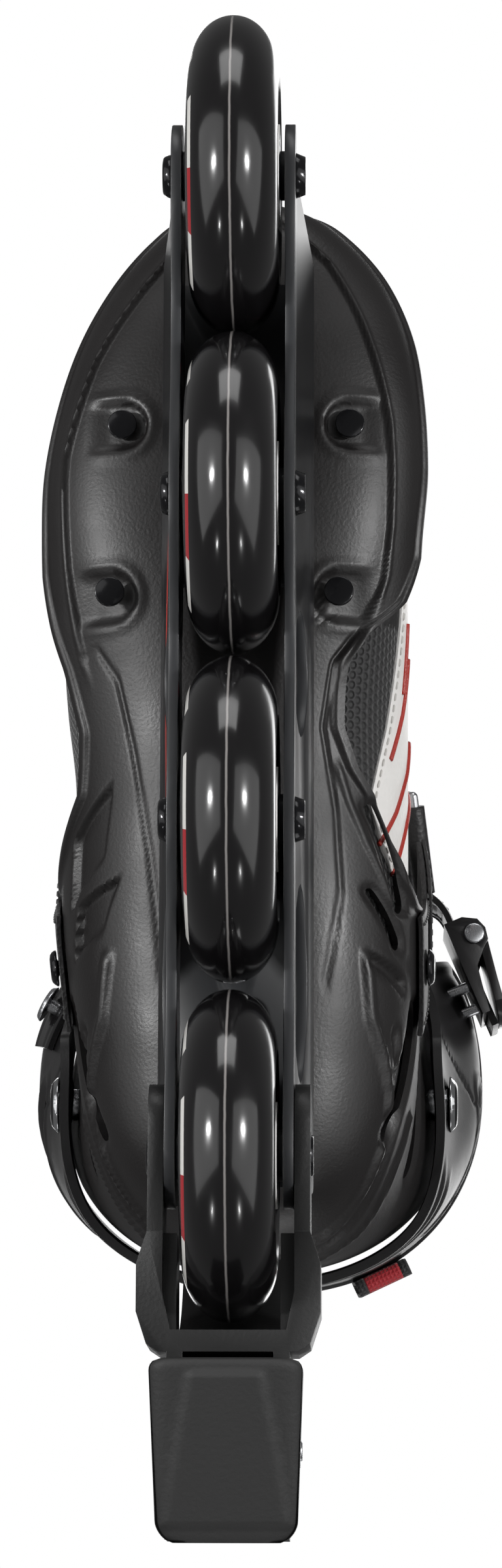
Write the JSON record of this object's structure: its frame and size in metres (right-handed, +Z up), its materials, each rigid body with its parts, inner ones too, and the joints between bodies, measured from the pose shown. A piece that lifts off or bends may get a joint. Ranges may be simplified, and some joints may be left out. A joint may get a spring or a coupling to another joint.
{
  "type": "inline skate",
  "caption": "Inline skate for one foot: soft boot in a moulded base, hinged cuff with ratchet buckle, wheels in a metal frame and a heel brake.",
  "frame": {"origin": "on the floor plane, under the middle of the wheel line", "axes": "+Z up, -Y towards the toe, +X towards the wearer's left"},
  "size_m": [0.1418, 0.3977, 0.3186],
  "materials": {
    "anodised": "satin",
    "steel": "satin",
    "black_steel": "gloss",
    "tyre": "gloss",
    "hub": "satin",
    "shell": "satin",
    "rubber": "matte",
    "fabric": "matte",
    "mesh": "matte",
    "white_leather": "satin",
    "toe_leather": "satin",
    "webbing": "matte",
    "red_webbing": "matte",
    "foam": "matte",
    "gel": "satin",
    "strap_plastic": "gloss"
  },
  "bodies": {
    "skate": {"frame": "anodised", "mount_bolts": "steel", "mount_tee_nuts": "steel", "axle_sleeves": "black_steel", "axle_screws": "black_steel", "bearing_spacers": "steel", "bearing_inner_rings": "steel", "brake_bracket": "shell", "brake_pad": "rubber", "brake_bolt": "steel", "brake_nut": "steel", "base_shell": "shell", "sole_rivets": "black_steel", "toe_box": "toe_leather", "left_quarter": "white_leather", "right_quarter": "mesh", "lace_eyelets": "steel", "liner": "fabric", "tongue": "fabric", "footbed": "foam", "heel_pad": "gel", "instep_strap": "webbing", "strap_tab": "webbing", "strap_ring": "steel", "strap_rivets": "black_steel", "pivot_bushes": "steel", "pivot_pins": "black_steel"},
    "wheel_1": {"tyre_1": "tyre", "hub_1": "hub", "bearing_outer_rings_1": "steel", "bearing_balls_1": "steel"},
    "wheel_2": {"tyre_2": "tyre", "hub_2": "hub", "bearing_outer_rings_2": "steel", "bearing_balls_2": "steel"},
    "wheel_3": {"tyre_3": "tyre", "hub_3": "hub", "bearing_outer_rings_3": "steel", "bearing_balls_3": "steel"},
    "wheel_4": {"tyre_4": "tyre", "hub_4": "hub", "bearing_outer_rings_4": "steel", "bearing_balls_4": "steel"},
    "cuff": {"cuff_shell": "shell", "ladder_strap": "strap_plastic", "ladder_screw": "steel", "buckle_base": "strap_plastic", "buckle_rivets": "steel", "buckle_pin": "steel", "pull_loop": "red_webbing"},
    "lever": {"buckle_lever": "strap_plastic"}
  },
  "joints": [
    {"name": "wheel_1_spin", "type": "hinge", "parent": "skate", "child": "wheel_1", "pos_m": [0, -0.12975, 0.042], "axis": [1, 0, 0], "continuous": true},
    {"name": "wheel_2_spin", "type": "hinge", "parent": "skate", "child": "wheel_2", "pos_m": [0, -0.04325, 0.042], "axis": [1, 0, 0], "continuous": true},
    {"name": "wheel_3_spin", "type": "hinge", "parent": "skate", "child": "wheel_3", "pos_m": [0, 0.04325, 0.042], "axis": [1, 0, 0], "continuous": true},
    {"name": "wheel_4_spin", "type": "hinge", "parent": "skate", "child": "wheel_4", "pos_m": [0, 0.12975, 0.042], "axis": [1, 0, 0], "continuous": true},
    {"name": "cuff_lean", "type": "hinge", "parent": "skate", "child": "cuff", "pos_m": [0, 0.096, 0.195], "axis": [1, 0, 0], "range_deg": [0, 12], "deforming": ["liner", "tongue"]},
    {"name": "buckle_lever_swing", "type": "hinge", "parent": "cuff", "child": "lever", "pos_m": [0.0656, 0.03992, 0.246], "axis": [0, 0, -1], "range_deg": [0, 100]}
  ]
}
